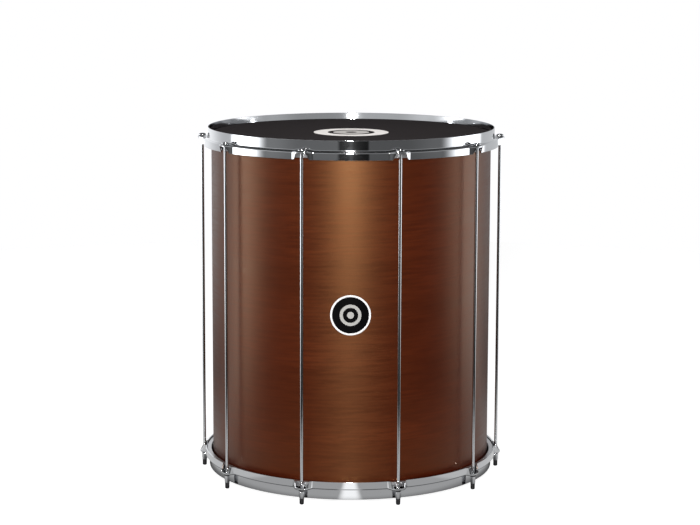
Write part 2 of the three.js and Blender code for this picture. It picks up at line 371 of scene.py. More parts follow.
class SurdoStage(bpy.types.PropertyGroup):
    """The camera, the lamps, the floor and the room's light."""

    camera_distance: length("Camera distance", "From the drum's axis to the camera", 3.9798)
    camera_height: length("Camera height", "Height of the camera above the bottom rim", 1.081)
    camera_pitch: FloatProperty(name="Camera pitch", description="How far the camera looks down",
                                default=math.radians(8.35), subtype="ANGLE")
    camera_roll: FloatProperty(name="Camera roll", description="Turn about the line of sight",
                               default=0.0033, subtype="ANGLE")
    camera_yaw: FloatProperty(name="Camera yaw", description="Turn away from the drum's axis",
                              default=0.00043, subtype="ANGLE")
    camera_lens: FloatProperty(name="Lens", description="Focal length", default=102.65,
                               unit="CAMERA")
    camera_shift: FloatProperty(name="Shift", description="Lens shift, in picture widths",
                                default=-0.06)
    left_reach: share("Left reach", "How far round the left soft box comes", 0.93)
    right_reach: share("Right reach", "How far round the right soft box comes", 0.86)
    strip_power: FloatProperty(name="Strip lamp", description="Power of the lamp in front",
                               default=252, unit="POWER")
    overhead_power: FloatProperty(name="Overhead lamp", description="Power of the lamp above",
                                  default=16, unit="POWER")
    floor_radius: length("Floor", "Radius of the floor", 3.0)
    # Level of the painted light that metal mirrors in the near floor
    floor_near: share("Near floor", "Brightness of the near floor in metal", 0.47)
    left_box: share("Left box", "Brightness of the soft box on the left", 6.0, most=10)
    right_box: share("Right box", "Brightness of the soft box on the right", 3.6, most=10)
    back_light: share("Back light", "Brightness of the backdrop", 0.65, most=10)
    front_left: share("Front left", "Brightness of the room in front on the left", 0.17)
    front_right: share("Front right", "Brightness of the room in front on the right", 0.115)
    panel_dark: share("Panel", "Brightness of the dark panel in front", 0.009)
    panel_gap: share("Panel gap", "Brightness of the narrow gap in the dark panel", 0.06)
    front_rise: share("Front rise", "How much brighter the room in front is higher up", 2.2, most=10)
    sky_light: share("Ceiling", "Brightness of the ceiling", 0.05, most=10)


class Wire:
    """A number in a shader that can be used in sums, products and comparisons."""

    def __init__(self, finish, socket):
        self.finish = finish
        self.socket = socket

    def _maths(self, operation, first, second):
        return self.finish.node("ShaderNodeMath", {"operation": operation}, {0: first, 1: second})

    def __add__(self, other):
        return self._maths("ADD", self, other)

    def __sub__(self, other):
        return self._maths("SUBTRACT", self, other)

    def __rsub__(self, other):
        return self._maths("SUBTRACT", other, self)

    def __mul__(self, other):
        return self._maths("MULTIPLY", self, other)

    def __truediv__(self, other):
        return self._maths("DIVIDE", self, other)

    def __pow__(self, other):
        return self._maths("POWER", self, other)

    def __lt__(self, other):
        return self._maths("LESS_THAN", self, other)

    def __gt__(self, other):
        return self._maths("GREATER_THAN", self, other)

    __radd__ = __add__
    __rmul__ = __mul__


class Finish:
    """The nodes of one material or world."""

    def __init__(self, tree):
        self.tree = tree
        tree.nodes.clear()

    def node(self, kind, settings=None, inputs=None, output=0):
        """Adds a node, sets what it is and what goes into it, and gives back one of its sockets."""
        made = self.tree.nodes.new(kind)
        for name, value in (settings or {}).items():
            setattr(made, name, value)
        for name, value in (inputs or {}).items():
            if isinstance(value, Wire):
                self.tree.links.new(value.socket, made.inputs[name])
            else:
                made.inputs[name].default_value = value
        return Wire(self, made.outputs[output])

    def coordinates(self, kind):
        """A place or direction of a kind of texture coordinates, as three numbers."""
        where = self.node("ShaderNodeTexCoord", output=kind)
        return [self.node("ShaderNodeSeparateXYZ", {}, {0: where}, axis) for axis in "XYZ"]

    def vector(self, x, y, z):
        return self.node("ShaderNodeCombineXYZ", {}, {0: x, 1: y, 2: z})

    def radius(self, x, y):
        """How far a place lies from the axis."""
        return (x * x + y * y) ** 0.5

    def bearing(self, x, y):
        """Which way a place lies from the axis, as an angle from straight in front."""
        return self.node("ShaderNodeMath", {"operation": "ARCTAN2"}, {0: x, 1: 0 - y})

    def noise(self, where, cells=1.0, detail=2.0, roughness=0.5, distortion=0.0):
        """A noise with so many cells in a length of 1."""
        return self.node("ShaderNodeTexNoise", {}, {"Vector": where, "Scale": cells, "Detail": detail,
                                                   "Roughness": roughness, "Distortion": distortion})

    def band(self, value, low, high):
        """Rises smoothly from 0 at low to 1 at high, which may be the lower number."""
        return self.node("ShaderNodeMapRange", {"interpolation_type": "SMOOTHSTEP"},
                         {"Value": value, "From Min": low, "From Max": high})

    def mix(self, mask, first, second):
        """Mixes two colours."""
        return self.node("ShaderNodeMix", {"data_type": "RGBA"}, {0: mask, 6: first, 7: second}, 2)

    def between(self, mask, first, second):
        """Mixes two numbers."""
        return first * (1 - mask) + second * mask

    def bump(self, relief, height):
        """A normal bent by a relief that is so high where it is 1."""
        return self.node("ShaderNodeBump", {}, {"Strength": 1.0, "Distance": height,
                                                "Height": relief})

    def surface(self, **inputs):
        """The main shader. Its sockets are named in words joined by underscores."""
        named = {name.replace("_", " "): value for name, value in inputs.items()}
        return self.node("ShaderNodeBsdfPrincipled", {}, named)

    def show(self, shader, kind="ShaderNodeOutputMaterial"):
        output = self.tree.nodes.new(kind)
        self.tree.links.new(shader.socket, output.inputs["Surface"])


def opaque(tint, level=1.0):
    """A colour at a level of its brightness and with full cover, as a colour socket takes it."""
    return (*(part * level for part in tint), 1.0)


def new_material(name):
    material = bpy.data.materials.new(name)
    material.use_nodes = True
    return material, Finish(material.node_tree)


def plate(name, look, cells, dullness=1.0):
    """Bright chrome plate: clean, with faint haze, wipe marks and a trace of waviness."""
    material, finish = new_material(name)
    x, y, z = finish.coordinates("Object")
    where = finish.vector(x, y, z)
    wiped = finish.vector(x, y, z * WIPE_STRETCH)
    haze = finish.noise(where, cells, detail=4.0, roughness=0.6)
    wipe = finish.noise(wiped, cells * WIPE_CELLS, detail=3.0, roughness=0.65)
    marks = finish.band(wipe, low=0.55, high=0.8)
    waves = finish.noise(where, cells * WAVE_CELLS, detail=1.0)
    finish.show(finish.surface(
        Base_Color=finish.mix(haze * HAZE_SHARE, opaque(look.plate), opaque(look.plate, HAZE_TONE)),
        Metallic=1.0,
        Roughness=look.roughness * dullness + HAZE_DULLS * haze + WIPE_DULLS * marks,
        Normal=finish.bump(waves, WAVE_HEIGHT),
    ))
    return material


def stained_wood(look):
    """Satin lacquer over stained veneer whose grain runs round the shell."""
    material, finish = new_material("Stained veneer")
    x, y, z = finish.coordinates("Object")
    radius = finish.radius(x, y)
    along = finish.bearing(x, y) * look.radius
    across = z - along * GRAIN_SLANT

    def grain(cells, **settings):
        """A noise stretched along the grain."""
        lengthwise, through, crosswise = cells
        where = finish.vector(along * lengthwise, radius * through, across * crosswise)
        return finish.noise(where, **settings)

    tone = grain(TONE_CELLS)
    figure = grain(FIGURE_CELLS, detail=5.0, roughness=0.6, distortion=0.4)
    fibre = grain(FIBRE_CELLS, detail=3.0, roughness=0.7)
    pores = finish.band(grain(PORE_CELLS, detail=1.0), low=0.64, high=0.74)

    light = finish.band(figure, low=0.34, high=0.66)
    shaded = finish.band(tone, low=0.62, high=0.30) * TONE_DARKENS
    fibrous = finish.band(fibre, low=0.50, high=0.78) * FIBRE_DARKENS
    stain = finish.mix(light, opaque(look.stain), opaque(look.stain_light))
    for mask in (shaded, fibrous, pores * PORES_DARKEN):
        stain = finish.mix(mask, stain, opaque(look.stain_dark))

    inside = finish.band(radius, look.radius - look.edge_round, look.radius - look.edge_round * 2)
    bare = finish.mix(figure, opaque(look.bare_wood), opaque(look.bare_wood, BARE_GRAIN_TONE))
    swing = FIGURE_DULLS * (figure - NOISE_MIDDLE) + TONE_DULLS * (tone - NOISE_MIDDLE)
    relief = fibre * FIBRE_RAISES + figure * FIGURE_RAISES - pores * PORES_SINK
    finish.show(finish.surface(
        Base_Color=finish.mix(inside, stain, bare),
        Roughness=look.roughness + swing + PORES_DULL * pores,
        IOR=1.65,
        Specular_Tint=opaque(look.sheen_tint),
        Normal=finish.bump(relief, GRAIN_HEIGHT),
    ))
    return material


def printed_film(look, printed):
    """Black imitation leather coat, with a plain printed disc on the batter head."""
    material, finish = new_material("Coated film, printed" if printed else "Coated film")
    x, y, z = finish.coordinates("Object")
    where = finish.vector(x, y, z)
    creases = finish.node("ShaderNodeTexVoronoi", {"feature": "DISTANCE_TO_EDGE"},
                          {"Vector": where, "Scale": LEATHER_CELLS})
    leather = finish.band(creases, low=0.0, high=LEATHER_CREASE)
    cloud = finish.noise(where, CLOUD_CELLS, detail=3.0)
    rub = finish.noise(where, RUB_CELLS, detail=3.0, roughness=0.6)
    coat = finish.mix(cloud * CLOUD_SHARE, opaque(look.coat), opaque(look.coat, CLOUD_TONE))
    relief = leather * LEATHER_RAISES + rub * RUB_RAISES
    roughness = look.coat_roughness + CLOUD_DULLS * (cloud - NOISE_MIDDLE)
    if printed:
        radius = finish.radius(x, y)
        disc = radius < look.print_radius
        band = (radius < look.print_middle) * (radius > look.print_middle - look.print_band)
        dark = band + (radius < look.print_dot)
        ink = finish.mix(radius < look.print_middle, opaque(look.ink), opaque(look.ink_grey))
        inked = disc * (1 - dark)
        coat = finish.mix(inked * (INK_COVER + INK_WEAR * rub), coat, ink)
        relief = relief * (1 - INK_FILLS * inked)
        roughness = roughness - INK_GLOSS * inked
    finish.show(finish.surface(
        Base_Color=coat,
        Roughness=roughness,
        Specular_IOR_Level=0.0,
        Normal=finish.bump(relief, LEATHER_HEIGHT),
    ))
    return material


def rolled_aluminium(look):
    """Rolled channel with fine lines along it."""
    material, finish = new_material("Rolled aluminium")
    x, y, z = finish.coordinates("Object")
    section = finish.vector(finish.radius(x, y) * LINE_CELLS, z * LINE_CELLS, 0.0)
    lines = finish.noise(section, detail=3.0, roughness=0.7)
    blotch = finish.noise(finish.vector(x, y, z), BLOTCH_CELLS, detail=3.0)
    finish.show(finish.surface(
        Base_Color=finish.mix(blotch * BLOTCH_SHARE, opaque(look.metal),
                              opaque(look.metal, BLOTCH_TONE)),
        Metallic=1.0,
        Roughness=look.metal_roughness + LINE_DULLS * lines,
        Normal=finish.bump(lines, LINE_HEIGHT),
    ))
    return material


def moulded(name, tint, roughness, cells):
    """Black moulded nylon or rubber with a fine matt grain and a little dust."""
    material, finish = new_material(name)
    where = finish.vector(*finish.coordinates("Object"))
    grain = finish.noise(where, cells, detail=3.0, roughness=0.6)
    dust = finish.noise(where, cells * DUST_CELLS, detail=2.0)
    dusty = finish.band(dust, low=0.45, high=0.75) * DUST_SHARE
    finish.show(finish.surface(
        Base_Color=finish.mix(dusty, opaque(tint), opaque(tint, DUST_TONE)),
        Roughness=roughness + MOULD_DULLS * (grain - NOISE_MIDDLE),
        Specular_IOR_Level=0.25,
        Normal=finish.bump(grain, MOULD_HEIGHT),
    ))
    return material


def badge_enamel(look):
    """Gloss enamel: black field, white border, and a plain grey ring and dot."""
    material, finish = new_material("Badge enamel")
    x, y, z = finish.coordinates("Object")
    radius = finish.radius(x, z - middle("badge").z)
    wear = finish.noise(finish.vector(x, y, z), WEAR_CELLS, detail=3.0)
    ring = (radius < look.ring_outer) * (radius > look.ring_inner)
    marks = ring + (radius < look.dot)
    border = radius > look.radius - look.border
    enamel = finish.mix(marks, opaque(look.field), opaque(look.ring_grey))
    enamel = finish.mix(border, enamel, opaque(look.border_white))
    finish.show(finish.surface(
        Base_Color=enamel,
        Roughness=look.roughness + WEAR_DULLS * wear + MARKS_DULL * marks,
        Specular_IOR_Level=0.3,
        Normal=finish.bump(wear, WEAR_HEIGHT),
    ))
    return material


def rounded(corners, closed=True, arc_steps=0):
    """The outline through [across, up, radius] corners, each rounded by an arc of its radius.
    Every arc has arc_steps steps, or as many as its angle needs if that is 0."""
    outline = []
    for index, (across, up, radius) in enumerate(corners):
        here = Vector((across, up))
        if radius == 0 or not (closed or 0 < index < len(corners) - 1):
            outline.append(here)
            continue
        back = (Vector(corners[index - 1][:2]) - here).normalized()
        ahead = (Vector(corners[(index + 1) % len(corners)][:2]) - here).normalized()
        half = back.angle(ahead) / 2
        centre = here + (back + ahead).normalized() * radius / math.sin(half)
        start = here + back * radius / math.tan(half) - centre
        turn = math.pi - 2 * half
        if ahead.x * back.y < ahead.y * back.x:
            turn = -turn
        steps = arc_steps or max(2, math.ceil(abs(turn) / ARC_STEP))
        for step in range(steps + 1):
            outline.append(centre + Matrix.Rotation(turn * step / steps, 2) @ start)
    kept = [point for index, point in enumerate(outline)
            if (point - outline[index - 1]).length > TINY or (index == 0 and not closed)]
    return kept


def skin(name, rings, section_closed=True):
    """One closed mesh through rings of points. The last ring joins the first."""
    count = len(rings[0])
    points = [point for ring in rings for point in ring]
    last = count if section_closed else count - 1
    faces = []
    for ring in range(len(rings)):
        here = ring * count
        following = (ring + 1) % len(rings) * count
        for step in range(last):
            beside = (step + 1) % count
            faces.append((here + step, following + step, following + beside, here + beside))
    mesh = bpy.data.meshes.new(name)
    mesh.from_pydata(points, [], faces)
    tidy(mesh)
    piece = bpy.data.objects.new(name, mesh)
    bpy.context.scene.collection.objects.link(piece)
    return piece


def tidy(mesh):
    """Merges points that coincide, turns the faces outwards and sets which edges look sharp."""
    work = bmesh.new()
    work.from_mesh(mesh)
    bmesh.ops.remove_doubles(work, verts=work.verts, dist=TINY)
    bmesh.ops.dissolve_degenerate(work, edges=work.edges, dist=TINY)
    bmesh.ops.recalc_face_normals(work, faces=work.faces)
    work.to_mesh(mesh)
    work.free()
    mesh.shade_smooth()
    mesh.set_sharp_from_angle(angle=SHARP_ANGLE)


def turned(name, outline, steps, centre=(0.0, 0.0), shape=None, closed=True):
    """A solid turned about an upright axis. shape may change a point's radius by its angle."""
    rings = []
    for step in range(steps):
        angle = math.tau * step / steps
        ring = []
        for radius, height in outline:
            across = shape(radius, height, angle) if shape else radius
            ring.append((centre[0] + across * math.cos(angle),
                         centre[1] + across * math.sin(angle), height))
        rings.append(ring)
    return skin(name, rings, closed)


def with_rows(outline, rows):
    """An outline from axis to axis, with rows of points on its first and last stretches."""
    start = [(outline[1].x * row / rows, outline[0].y) for row in range(rows)]
    end = [(outline[-2].x * (1 - row / rows), outline[-1].y) for row in range(1, rows + 1)]
    return start + [tuple(point) for point in outline[1:-1]] + end


def fit(piece, body, material, slot, *nodes):
    """Dresses a piece, lets it ride on its body and has it stand for its CAD nodes."""
    piece.data.materials.append(material)
    normals = piece.modifiers.new("Even normals", "WEIGHTED_NORMAL")
    normals.keep_sharp = True
    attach(piece, body)
    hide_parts(*nodes)


def ends():
    """Each end's name, its head's name, its rim's height and the way from the rim to the middle."""
    return ("top", "batter", TOP_RIM, -1), ("bottom", "resonant", BOTTOM_RIM, 1)


def body_of(node):
    """The CAD body that a node rides on."""
    return frame["nodes"][node]["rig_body"]


def collar_inner(settings):
    return settings.shell.radius + settings.hoop.collar_play


def skirt_outer(settings):
    return collar_inner(settings) + settings.hoop.sheet + settings.hoop.ledge_width


def ear_bulge(hoop, distance):
    """How far an ear stands out at a distance along the hoop from its rod, from 0 to 1."""
    along = abs(distance) / hoop.ear_half_width
    if along >= 1:
        return 0.0
    return (1 + math.cos(math.pi * along ** hoop.ear_fullness)) / 2


def mouth_side(hoop, distance):
    """Rises smoothly from 0 over an ear's mouth to 1 beside it."""
    start = hoop.mouth_half_width - hoop.mouth_blend
    along = min(1, max(0, (abs(distance) - start) / (2 * hoop.mouth_blend)))
    return along * along * (3 - 2 * along)


def hoop_section(settings, distance):
    """The sheet's section as points of radius and depth below the rim."""
    hoop = settings.hoop
    bulge = ear_bulge(hoop, distance)
    reach = hoop.ear_reach * bulge
    inner = collar_inner(settings)
    outer = skirt_outer(settings) + reach
    collar_height = HOOP_DEPTH - hoop.skirt_height
    floor = collar_height - hoop.ear_lift * bulge
    skirt_below = (hoop.skirt_height - hoop.ear_lip) * mouth_side(hoop, distance)
    free = collar_height + hoop.ear_lip + skirt_below
    edge = outer - hoop.ear_lean * reach * (free - floor) / hoop.skirt_height
    return rounded([
        (inner + hoop.rim_opening, 0, hoop.lip_round),
        (inner + hoop.sheet, 0, hoop.lip_round),
        (inner + hoop.sheet, floor, hoop.ledge_fillet),
        (outer, floor, hoop.shoulder_round),
        (edge, free, hoop.lip_round),
        (edge - hoop.sheet, free, hoop.lip_round),
        (outer - hoop.sheet, floor + hoop.sheet, hoop.shoulder_round - hoop.sheet),
        (inner, floor + hoop.sheet, hoop.ledge_fillet + hoop.sheet),
        (inner, TOP_RIM - FILM_TOP, hoop.opening_round),
    ], arc_steps=HOOP_ARC_STEPS)


def hoop_stations(hoop):
    """Angles round the hoop and distances from the nearest rod, with fine steps over each ear."""
    ear_angle = hoop.ear_half_width / ROD_CIRCLE
    gap_angle = math.tau / len(ROD_NODES) - 2 * ear_angle
    for _, _, facing in stations():
        for step in range(EAR_STEPS + 1):
            turn = (2 * step / EAR_STEPS - 1) * ear_angle
            yield facing + turn, turn * ROD_CIRCLE
        for step in range(1, PLAIN_STEPS):
            yield facing + ear_angle + gap_angle * step / PLAIN_STEPS, hoop.ear_half_width


def drill(piece, radius, low, high):
    """Cuts a round hole through a piece at every rod."""
    cutters = bmesh.new()
    for _, place, _ in stations():
        where = Matrix.Translation((place.x, place.y, (low + high) / 2))
        bmesh.ops.create_cone(cutters, cap_ends=True, segments=SMALL_STEPS, radius1=radius,
                              radius2=radius, depth=high - low, matrix=where)
    mesh = bpy.data.meshes.new("Drills")
    cutters.to_mesh(mesh)
    cutters.free()
    drills = bpy.data.objects.new("Drills", mesh)
    bpy.context.scene.collection.objects.link(drills)
    cut = piece.modifiers.new("Rod holes", "BOOLEAN")
    cut.object = drills
    cut.solver = "MANIFOLD"
    graph = bpy.context.evaluated_depsgraph_get()
    drilled = bpy.data.meshes.new_from_object(piece.evaluated_get(graph))
    piece.modifiers.remove(cut)
    piece.data = drilled
    bpy.data.objects.remove(drills)
    drilled.materials.clear()
    tidy(drilled)


class SurdoOperator(bpy.types.Operator):
    """What the piece operators share."""

    bl_options = {"REGISTER", "UNDO"}


class SURDO_OT_shell(SurdoOperator):
    """Builds the stained wood shell"""

    bl_idname = "surdo.shell"
    bl_label = "Shell"

    def execute(self, context):
        look = context.scene.surdo.shell
        inner = look.radius - look.wall
        low, high = SHELL_LOW.z, SHELL_HIGH.z
        outline = rounded([
            (look.radius, low, look.edge_round),
            (look.radius, high, look.edge_round),
            (inner + look.wall / 2, high, look.edge_round / 2),
            (inner, high - look.bevel, look.edge_round),
            (inner, low + look.bevel, look.edge_round),
            (inner + look.wall / 2, low, look.edge_round / 2),
        ])
        shell = turned("shell_wood", outline, ROUND_STEPS)
        fit(shell, body_of("shell"), stained_wood(look), "stained_wood", "shell")
        return {"FINISHED"}


class SURDO_OT_badge(SurdoOperator):
    """Builds the bent badge plate"""

    bl_idname = "surdo.badge"
    bl_label = "Badge"

    def execute(self, context):
        settings = context.scene.surdo
        look = settings.badge
        centre = middle("badge")
        back = settings.head.seat_gap
        front = -BADGE_LOW.y - settings.shell.radius
        edge = look.rim_rise
        outline = rounded([
            (0, front - look.rim_rise, 0),
            (look.radius - look.border, front - look.rim_rise, edge / 2),
            (look.radius - look.border + edge, front, edge / 2),
            (look.radius, front, edge),
            (look.radius, back, edge / 2),
            (0, back, 0),
        ], closed=False)
        rings = []
        for step in range(ROUND_STEPS // 2):
            angle = math.tau * 2 * step / ROUND_STEPS
            ring = []
            for radius, rise in with_rows(outline, BADGE_ROWS):
                across = radius * math.cos(angle)
                bend = settings.shell.radius + rise
                ring.append((across, -math.sqrt(bend * bend - across * across),
                             centre.z + radius * math.sin(angle)))
            rings.append(ring)
        badge = skin("badge_plate", rings, section_closed=False)
        fit(badge, body_of("badge"), badge_enamel(look), "badge_enamel", "badge")
        return {"FINISHED"}


class SURDO_OT_hoops(SurdoOperator):
    """Builds the two pressed and plated hoops"""

    bl_idname = "surdo.hoops"
    bl_label = "Hoops"

    def execute(self, context):
        settings = context.scene.surdo
        hoop = settings.hoop
        chrome = plate("Hoop chrome", hoop, cells=14.0)
        hole = settings.rod.radius + hoop.hole_play
        for end, _, rim, inwards in ends():
            rings = []
            for angle, distance in hoop_stations(hoop):
                across = math.cos(angle)
                ahead = math.sin(angle)
                rings.append([(radius * across, radius * ahead, rim + inwards * depth)
                              for radius, depth in hoop_section(settings, distance)])
            node = f"{end}_hoop"
            piece = skin(f"{end}_hoop_pressing", rings)
            low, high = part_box(node)
            drill(piece, hole, low.z - hoop.sheet, high.z + hoop.sheet)
            fit(piece, body_of(node), chrome, "hoop_chrome", node)
        return {"FINISHED"}


class SURDO_OT_heads(SurdoOperator):
    """Builds the two coated films and the channels that hold them"""

    bl_idname = "surdo.heads"
    bl_label = "Heads"

    def execute(self, context):
        settings = context.scene.surdo
        look = settings.head
        metal = rolled_aluminium(look)
        for _, head, rim, inwards in ends():
            outline = [(radius, rim + inwards * depth) for radius, depth in self.film(settings)]
            film = turned(f"{head}_film", outline, ROUND_STEPS, closed=False)
            node = f"{head}_head_film"
            fit(film, body_of(node), printed_film(look, head == "batter"), "head_film", node)
            outline = [(radius, rim + inwards * depth) for radius, depth in self.channel(settings)]
            channel = turned(f"{head}_flesh_channel", outline, ROUND_STEPS)
            node = f"{head}_flesh_hoop"
            fit(channel, body_of(node), metal, "flesh_hoop_aluminium", node)
        return {"FINISHED"}

    def film(self, settings):
        """The film's section: flat over the shell, down outside it and out into the channel."""
        look = settings.head
        top = TOP_RIM - FILM_TOP
        flesh_top = TOP_RIM - FLESH_HIGH.z
        inner = settings.shell.radius + look.standoff
        neck = inner + look.slope
        foot = neck + look.tuck
        slope_start = flesh_top - look.seat_gap - look.film
        foot_start = flesh_top + look.inner_drop - look.film
        tip = flesh_top + look.channel_depth - look.seat_gap - look.film
        return with_rows(rounded([
            (0, top + look.film, 0),
            (inner - look.standoff, top + look.film, look.film / 2),
            (inner, top + look.film + look.shoulder, look.film / 2),
            (neck, slope_start, look.film / 2),
            (foot, foot_start, look.film / 2),
            (foot, tip, look.film / 4),
            (foot + look.film, tip, look.film / 4),
            (foot + look.film, foot_start, look.film),
            (neck + look.film, slope_start, look.film),
            (inner + look.film, top + look.shoulder, look.film),
            (settings.shell.radius, top, look.film),
            (0, top, 0),
        ], closed=False), FILM_ROWS)

    def channel(self, settings):
        """The flesh hoop's section: a groove open towards the rim, with a short inner leg."""
        look = settings.head
        top = TOP_RIM - FLESH_HIGH.z
        bottom = TOP_RIM - FLESH_LOW.z
        outer = FLESH_HIGH.x
        inner = outer - look.channel_width
        edge = look.wall / 2.5
        return rounded([
            (inner, bottom, look.wall),
            (outer, bottom, look.wall),
            (outer, top, edge),
            (outer - look.wall, top, edge),
            (outer - look.wall, top + look.channel_depth, look.wall / 2),
            (inner + look.wall, top + look.channel_depth, look.wall / 2),
            (inner + look.wall, top + look.inner_drop, edge),
            (inner, top + look.inner_drop, edge),
        ])


class SURDO_OT_rods(SurdoOperator):
    """Builds the tension rods and their washers"""

    bl_idname = "surdo.rods"
    bl_label = "Rods and washers"

    def execute(self, context):
        settings = context.scene.surdo
        look = settings.rod
        chrome = plate("Rod chrome", settings.hoop, cells=60.0, dullness=2)
        nylon = moulded("Black nylon", look.nylon, look.nylon_roughness, cells=2600.0)
        for number, place, _ in stations():
            node = f"tension_rod_{number}"
            low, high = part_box(node)
            outline = self.rod(look, low.z, high.z)
            rod = turned(f"through_rod_{number}", outline, SMALL_STEPS, place.xy,
                         self.thread(look, low.z), closed=False)
            fit(rod, body_of(node), chrome, "rod_chrome", node)
            node = f"ear_washer_{number}"
            outline = self.washer(look, node)
            washer = turned(f"nylon_washer_{number}", outline, SMALL_STEPS, place.xy)
            fit(washer, body_of(node), nylon, "washer_nylon", node)
        return {"FINISHED"}

    def rod(self, look, low, high):
        """The rod's section, with a row of points for every step of the thread."""
        seat = high - look.head_height
        dome = look.head_height - look.head_rim
        thread_rows = round(look.thread_length / look.pitch * THREAD_STEPS)
        rows = [(look.radius, low + look.end_chamfer + look.pitch * row / THREAD_STEPS)
                for row in range(thread_rows)]
        foot = [(0.0, low), (look.radius - look.end_chamfer, low)]
        neck = [tuple(point) for point in rounded([
            (look.radius, seat - look.pitch, 0),
            (look.radius, seat, look.end_chamfer / 4),
            (look.head_radius, seat, look.end_chamfer / 2),
            (look.head_radius, seat + look.head_rim, 0),
        ], closed=False)]
        curve = []
        for step in range(1, DOME_STEPS + 1):
            angle = math.pi / 2 * step / DOME_STEPS
            height = seat + look.head_rim + dome * math.sin(angle)
            curve.append((look.head_radius * math.cos(angle), height))
        return foot + rows + neck + curve

    def thread(self, look, low):
        """The rod's radius with a thread that runs out at its upper end."""
        start = low + look.end_chamfer
        stop = start + look.thread_length

        def radius_at(radius, height, angle):
            if height <= low or height >= stop or radius != look.radius:
                return radius
            depth = look.thread_depth * min(1, (stop - height) / (3 * look.pitch))
            phase = math.tau * (height - start) / look.pitch - angle
            return radius - depth * (1 - math.cos(phase)) / 2

        return radius_at

    def washer(self, look, node):
        low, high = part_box(node)
        outer = (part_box(f"ear_washer_{SIDE_STATION}")[1] - middle(f"ear_washer_{SIDE_STATION}")).x
        hole = look.radius + look.washer_play
        return rounded([
            (hole, low.z, look.washer_round / 2),
            (outer, low.z, look.washer_round),
            (outer, high.z, look.washer_round),
            (hole, high.z, look.washer_round / 2),
        ])


class SURDO_OT_nuts(SurdoOperator):
    """Builds the tension nuts"""

    bl_idname = "surdo.nuts"
    bl_label = "Tension nuts"

    def execute(self, context):
        settings = context.scene.surdo
        look = settings.nut
        chrome = plate("Nut chrome", settings.hoop, cells=90.0, dullness=2)
        for number, place, facing in stations():
            node = f"tension_nut_{number}"
            low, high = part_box(node)
            bore = settings.rod.radius + look.play
            corner = look.flat / math.cos(math.pi / 6)
            hexagon_low = high.z - look.hexagon
            outline = rounded([
                (bore, high.z, look.chamfer / 2),
                (look.flat - look.chamfer / 4, high.z, look.chamfer / 4),
                (corner, high.z - look.chamfer, 0),
                (corner, hexagon_low, 0),
                (look.end_radius, low.z, look.chamfer / 2),
                (bore, low.z, look.chamfer / 2),
            ])
            nut = turned(f"hexagon_nut_{number}", outline, SMALL_STEPS * 2, place.xy,
                         self.hexagon(look, hexagon_low, facing))
            fit(nut, body_of(node), chrome, "nut_chrome", node)
        return {"FINISHED"}

    def hexagon(self, look, hexagon_low, facing):
        """Cuts six flats on the turned blank, which run out in the taper below them."""
        sixth = math.pi / 3
        soft = look.flat / math.cos(math.pi / 6) - look.corner_round / 4

        def radius_at(radius, height, angle):
            if height < hexagon_low or radius < look.flat - look.chamfer / 2:
                return radius
            off_flat = (angle - facing) % sixth - sixth / 2
            return min(radius, soft, look.flat / math.cos(off_flat))

        return radius_at


class SURDO_OT_feet(SurdoOperator):
    """Builds the rubber feet"""

    bl_idname = "surdo.feet"
    bl_label = "Rubber feet"

    def execute(self, context):
        settings = context.scene.surdo
        look = settings.nut
        rubber = moulded("Black rubber", look.rubber, look.rubber_roughness, cells=1800.0)
        side = f"rubber_foot_{SIDE_STATION}"
        outer = (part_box(side)[1] - middle(side)).x
        bore = settings.rod.radius + look.play
        for number, place, _ in stations():
            node = f"rubber_foot_{number}"
            low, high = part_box(node)
            mouth = high.z - look.foot_lip
            rib = look.foot_rib
            outline = rounded([
                (0, low.z, 0),
                (outer - rib, low.z, look.foot_round),
                (outer - rib, mouth - rib * 2, rib),
                (outer - rib, mouth - rib, rib / 2),
                (outer, mouth, rib / 2),
                (outer, high.z, rib * 1.5),
                (bore, high.z, rib),
                (bore, low.z + look.foot_floor, rib),
                (0, low.z + look.foot_floor, 0),
            ], closed=False)
            foot = turned(f"rubber_cap_{number}", outline, SMALL_STEPS, place.xy, closed=False)
            fit(foot, body_of(node), rubber, "foot_rubber", node)
        return {"FINISHED"}


